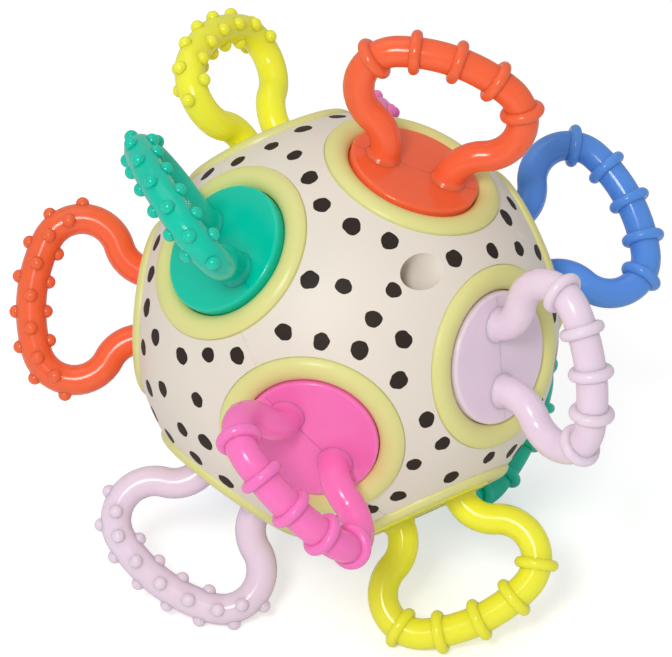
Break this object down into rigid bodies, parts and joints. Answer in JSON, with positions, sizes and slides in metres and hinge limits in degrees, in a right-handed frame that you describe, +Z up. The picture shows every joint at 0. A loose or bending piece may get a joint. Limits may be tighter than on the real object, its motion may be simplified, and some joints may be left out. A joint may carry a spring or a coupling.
{
  "type": "sensory ball",
  "caption": "Baby's sensory ball: hollow dotted ball with bezel-ringed sockets, each holding a soft textured teething loop that spins and clicks in and out.",
  "frame": {"origin": "centre of the ball", "axes": "+Z up as the ball stands on four of its loops; the pole of the half shell with the screw holes leans from +Z towards +X"},
  "size_m": [0.1577, 0.1672, 0.1483],
  "materials": {
    "shell": "satin off-white plastic printed with black dots",
    "bezel": "satin lime plastic",
    "silicone_teal": "satin soft silicone",
    "silicone_pink": "satin soft silicone",
    "silicone_yellow": "satin soft silicone",
    "silicone_orange": "satin soft silicone",
    "silicone_lavender": "satin soft silicone",
    "silicone_blue": "satin soft silicone",
    "spindle": "satin",
    "bush": "smooth",
    "retainer": "smooth",
    "screw": "plated"
  },
  "bodies": {
    "ball": {"shell_right": "shell", "shell_left": "shell", "case_screws": "screw", "seam_bezels": "bezel", "right_bezels": "bezel", "left_bezels": "bezel"},
    "bush_teal_bumps": {"click_bush_teal_bumps": "bush"},
    "loop_teal_bumps": {"teether_teal_bumps": "silicone_teal", "spindle_teal_bumps": "spindle", "retainer_teal_bumps": "retainer"},
    "bush_pink_ridges": {"click_bush_pink_ridges": "bush"},
    "loop_pink_ridges": {"teether_pink_ridges": "silicone_pink", "spindle_pink_ridges": "spindle", "retainer_pink_ridges": "retainer"},
    "bush_yellow_ridges": {"click_bush_yellow_ridges": "bush"},
    "loop_yellow_ridges": {"teether_yellow_ridges": "silicone_yellow", "spindle_yellow_ridges": "spindle", "retainer_yellow_ridges": "retainer"},
    "bush_teal_ridges": {"click_bush_teal_ridges": "bush"},
    "loop_teal_ridges": {"teether_teal_ridges": "silicone_teal", "spindle_teal_ridges": "spindle", "retainer_teal_ridges": "retainer"},
    "bush_pink_bumps": {"click_bush_pink_bumps": "bush"},
    "loop_pink_bumps": {"teether_pink_bumps": "silicone_pink", "spindle_pink_bumps": "spindle", "retainer_pink_bumps": "retainer"},
    "bush_yellow_bumps": {"click_bush_yellow_bumps": "bush"},
    "loop_yellow_bumps": {"teether_yellow_bumps": "silicone_yellow", "spindle_yellow_bumps": "spindle", "retainer_yellow_bumps": "retainer"},
    "bush_orange_ridges": {"click_bush_orange_ridges": "bush"},
    "loop_orange_ridges": {"teether_orange_ridges": "silicone_orange", "spindle_orange_ridges": "spindle", "retainer_orange_ridges": "retainer"},
    "bush_lavender_ridges": {"click_bush_lavender_ridges": "bush"},
    "loop_lavender_ridges": {"teether_lavender_ridges": "silicone_lavender", "spindle_lavender_ridges": "spindle", "retainer_lavender_ridges": "retainer"},
    "bush_blue_ridges": {"click_bush_blue_ridges": "bush"},
    "loop_blue_ridges": {"teether_blue_ridges": "silicone_blue", "spindle_blue_ridges": "spindle", "retainer_blue_ridges": "retainer"},
    "bush_orange_bumps": {"click_bush_orange_bumps": "bush"},
    "loop_orange_bumps": {"teether_orange_bumps": "silicone_orange", "spindle_orange_bumps": "spindle", "retainer_orange_bumps": "retainer"},
    "bush_lavender_bumps": {"click_bush_lavender_bumps": "bush"},
    "loop_lavender_bumps": {"teether_lavender_bumps": "silicone_lavender", "spindle_lavender_bumps": "spindle", "retainer_lavender_bumps": "retainer"},
    "bush_blue_bumps": {"click_bush_blue_bumps": "bush"},
    "loop_blue_bumps": {"teether_blue_bumps": "silicone_blue", "spindle_blue_bumps": "spindle", "retainer_blue_bumps": "retainer"}
  },
  "joints": [
    {"name": "teal_bumps_float", "type": "slide", "parent": "ball", "child": "bush_teal_bumps", "axis": [-0.5, -0.5528, 0.6667], "range_m": [-0.0018, 0.0022]},
    {"name": "teal_bumps_spin", "type": "hinge", "parent": "bush_teal_bumps", "child": "loop_teal_bumps", "pos_m": [-0.0243, -0.02686, 0.0324], "axis": [-0.5, -0.5528, 0.6667], "continuous": true},
    {"name": "pink_ridges_float", "type": "slide", "parent": "ball", "child": "bush_pink_ridges", "axis": [0, -0.9971, -0.0767], "range_m": [-0.0004, 0.0036]},
    {"name": "pink_ridges_spin", "type": "hinge", "parent": "bush_pink_ridges", "child": "loop_pink_ridges", "pos_m": [0, -0.04845, -0.00373], "axis": [0, -0.9971, -0.0767], "continuous": true},
    {"name": "yellow_ridges_float", "type": "slide", "parent": "ball", "child": "bush_yellow_ridges", "axis": [0.5, -0.4443, -0.7434], "range_m": [-0.001, 0.003]},
    {"name": "yellow_ridges_spin", "type": "hinge", "parent": "bush_yellow_ridges", "child": "loop_yellow_ridges", "pos_m": [0.0243, -0.02159, -0.03613], "axis": [0.5, -0.4443, -0.7434], "continuous": true},
    {"name": "teal_ridges_float", "type": "slide", "parent": "ball", "child": "bush_teal_ridges", "axis": [0.5, 0.5528, -0.6667], "range_m": [-0.0002, 0.0038]},
    {"name": "teal_ridges_spin", "type": "hinge", "parent": "bush_teal_ridges", "child": "loop_teal_ridges", "pos_m": [0.0243, 0.02686, -0.0324], "axis": [0.5, 0.5528, -0.6667], "continuous": true},
    {"name": "pink_bumps_float", "type": "slide", "parent": "ball", "child": "bush_pink_bumps", "axis": [0, 0.9971, 0.0767], "range_m": [-0.0008, 0.0032]},
    {"name": "pink_bumps_spin", "type": "hinge", "parent": "bush_pink_bumps", "child": "loop_pink_bumps", "pos_m": [0, 0.04845, 0.00373], "axis": [0, 0.9971, 0.0767], "continuous": true},
    {"name": "yellow_bumps_float", "type": "slide", "parent": "ball", "child": "bush_yellow_bumps", "axis": [-0.5, 0.4443, 0.7434], "range_m": [-0.0012, 0.0028]},
    {"name": "yellow_bumps_spin", "type": "hinge", "parent": "bush_yellow_bumps", "child": "loop_yellow_bumps", "pos_m": [-0.0243, 0.02159, 0.03613], "axis": [-0.5, 0.4443, 0.7434], "continuous": true},
    {"name": "orange_ridges_float", "type": "slide", "parent": "ball", "child": "bush_orange_ridges", "axis": [0.3333, -0.0723, 0.94], "range_m": [-0.001, 0.003]},
    {"name": "orange_ridges_spin", "type": "hinge", "parent": "bush_orange_ridges", "child": "loop_orange_ridges", "pos_m": [0.0162, -0.00352, 0.04568], "axis": [0.3333, -0.0723, 0.94], "continuous": true},
    {"name": "lavender_ridges_float", "type": "slide", "parent": "ball", "child": "bush_lavender_ridges", "axis": [0.8333, -0.5166, 0.1966], "range_m": [-0.0008, 0.0032]},
    {"name": "lavender_ridges_spin", "type": "hinge", "parent": "bush_lavender_ridges", "child": "loop_lavender_ridges", "pos_m": [0.0405, -0.02511, 0.00956], "axis": [0.8333, -0.5166, 0.1966], "continuous": true},
    {"name": "blue_ridges_float", "type": "slide", "parent": "ball", "child": "bush_blue_ridges", "axis": [0.8333, 0.4804, 0.2734], "range_m": [-0.0004, 0.0036]},
    {"name": "blue_ridges_spin", "type": "hinge", "parent": "bush_blue_ridges", "child": "loop_blue_ridges", "pos_m": [0.0405, 0.02335, 0.01328], "axis": [0.8333, 0.4804, 0.2734], "continuous": true},
    {"name": "orange_bumps_float", "type": "slide", "parent": "ball", "child": "bush_orange_bumps", "axis": [-1, 0, 0], "range_m": [-0.0008, 0.0032]},
    {"name": "orange_bumps_spin", "type": "hinge", "parent": "bush_orange_bumps", "child": "loop_orange_bumps", "pos_m": [-0.0486, 0, 0], "axis": [-1, 0, 0], "continuous": true},
    {"name": "lavender_bumps_float", "type": "slide", "parent": "ball", "child": "bush_lavender_bumps", "axis": [-0.5, -0.4443, -0.7434], "range_m": [-0.0002, 0.0038]},
    {"name": "lavender_bumps_spin", "type": "hinge", "parent": "bush_lavender_bumps", "child": "loop_lavender_bumps", "pos_m": [-0.0243, -0.02159, -0.03613], "axis": [-0.5, -0.4443, -0.7434], "continuous": true},
    {"name": "blue_bumps_float", "type": "slide", "parent": "ball", "child": "bush_blue_bumps", "axis": [-0.5, 0.5528, -0.6667], "range_m": [0, 0.004]},
    {"name": "blue_bumps_spin", "type": "hinge", "parent": "bush_blue_bumps", "child": "loop_blue_bumps", "pos_m": [-0.0243, 0.02686, -0.0324], "axis": [-0.5, 0.5528, -0.6667], "continuous": true}
  ]
}
